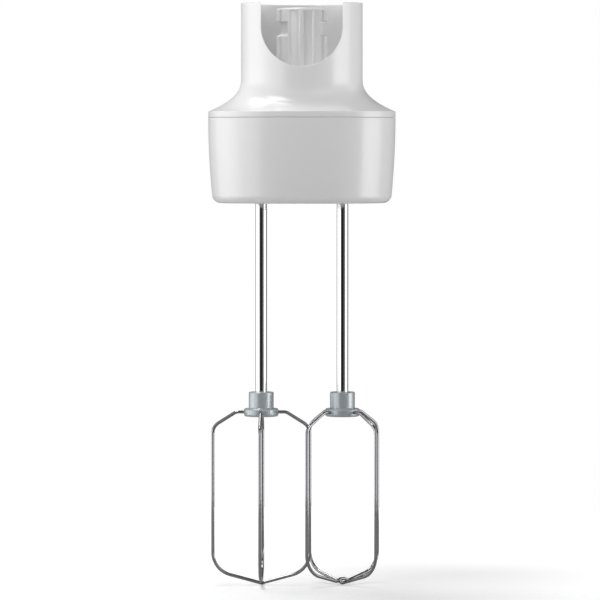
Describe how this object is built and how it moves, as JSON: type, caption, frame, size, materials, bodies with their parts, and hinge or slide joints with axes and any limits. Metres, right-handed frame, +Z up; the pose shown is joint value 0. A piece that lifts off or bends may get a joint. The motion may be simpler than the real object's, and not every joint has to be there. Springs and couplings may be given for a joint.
{
  "type": "hand mixer",
  "caption": "Twin-beater mixer attachment: a notched collar and a ribbed tower couple to a stick motor unit, and a gearbox turns the wire beaters in opposite directions.",
  "frame": {"origin": "where the drive axis meets the floor of the motor socket, in the plane of the coupling tower's foot", "axes": "+Z up along the drive axis, out of the motor socket; the beaters hang towards -Z, one on each side along X; the U notch of the collar faces -Y"},
  "size_m": [0.0896, 0.0768, 0.2791],
  "materials": {
    "housing_upper": "glossy white",
    "housing_lower": "glossy white",
    "tower": "satin white",
    "gearbox_frame": "moulded light grey",
    "screw_steel": "zinc plated",
    "bush_bronze": "sintered bronze",
    "seal_rubber": "matt",
    "input_steel": "turned",
    "coupler_nylon": "glass-filled black",
    "pinion_brass": "cut brass",
    "gear_acetal": "moulded natural",
    "spindle_steel": "ground",
    "washer_steel": "stamped",
    "left_shaft_steel": "polished",
    "right_shaft_steel": "polished",
    "left_hub_plastic": "moulded grey-blue",
    "right_hub_plastic": "moulded grey-blue",
    "wire_steel": "polished wire"
  },
  "bodies": {
    "housing": {"upper_housing": "housing_upper", "lower_housing": "housing_lower", "coupling_tower": "tower", "tower_screws": "screw_steel", "gearbox_base": "gearbox_frame", "gearbox_top_plate": "gearbox_frame", "gearbox_screws": "screw_steel", "input_bush_upper": "bush_bronze", "input_bush_lower": "bush_bronze", "idler_pin": "spindle_steel", "spindle_bushes_upper": "bush_bronze", "spindle_bushes_lower": "bush_bronze", "outlet_seals": "seal_rubber", "idler_washers": "washer_steel"},
    "input": {"input_shaft": "input_steel", "drive_coupler": "coupler_nylon", "coupler_pin": "input_steel", "input_pinion": "pinion_brass", "input_circlip": "washer_steel"},
    "idler": {"idler_pinion": "pinion_brass", "idler_wheel": "gear_acetal"},
    "left_drive": {"left_spindle": "spindle_steel", "left_gear": "gear_acetal", "left_gear_key": "spindle_steel", "left_detent_ring": "washer_steel", "left_thrust_washer": "washer_steel"},
    "right_drive": {"right_spindle": "spindle_steel", "right_gear": "gear_acetal", "right_gear_key": "spindle_steel", "right_detent_ring": "washer_steel", "right_thrust_washer": "washer_steel"},
    "left_beater": {"left_beater_shaft": "left_shaft_steel", "left_beater_drive_fins": "left_shaft_steel", "left_beater_hub": "left_hub_plastic", "left_beater_plain_loop": "wire_steel", "left_beater_arched_loop": "wire_steel"},
    "right_beater": {"right_beater_shaft": "right_shaft_steel", "right_beater_drive_fins": "right_shaft_steel", "right_beater_hub": "right_hub_plastic", "right_beater_plain_loop": "wire_steel", "right_beater_arched_loop": "wire_steel"}
  },
  "joints": [
    {"name": "left_spin", "type": "hinge", "parent": "housing", "child": "left_drive", "pos_m": [-0.0195, 0, -0.04], "axis": [0, 0, 1], "continuous": true},
    {"name": "right_spin", "type": "hinge", "parent": "housing", "child": "right_drive", "pos_m": [0.0195, 0, -0.04], "axis": [0, 0, 1], "continuous": true},
    {"name": "idler_spin", "type": "hinge", "parent": "housing", "child": "idler", "pos_m": [-0.00167, 0.01752, -0.04], "axis": [0, 0, 1], "continuous": true},
    {"name": "input_spin", "type": "hinge", "parent": "housing", "child": "input", "pos_m": [0, 0, 0], "axis": [0, 0, 1], "continuous": true},
    {"name": "left_eject", "type": "slide", "parent": "left_drive", "child": "left_beater", "axis": [0, 0, -1], "range_m": [0, 0.03]},
    {"name": "right_eject", "type": "slide", "parent": "right_drive", "child": "right_beater", "axis": [0, 0, -1], "range_m": [0, 0.03]}
  ],
  "couplings": [
    {"joint": "right_spin", "follows": "left_spin", "ratio": -1},
    {"joint": "idler_spin", "follows": "left_spin", "ratio": -3.5455},
    {"joint": "input_spin", "follows": "left_spin", "ratio": 12.055}
  ]
}
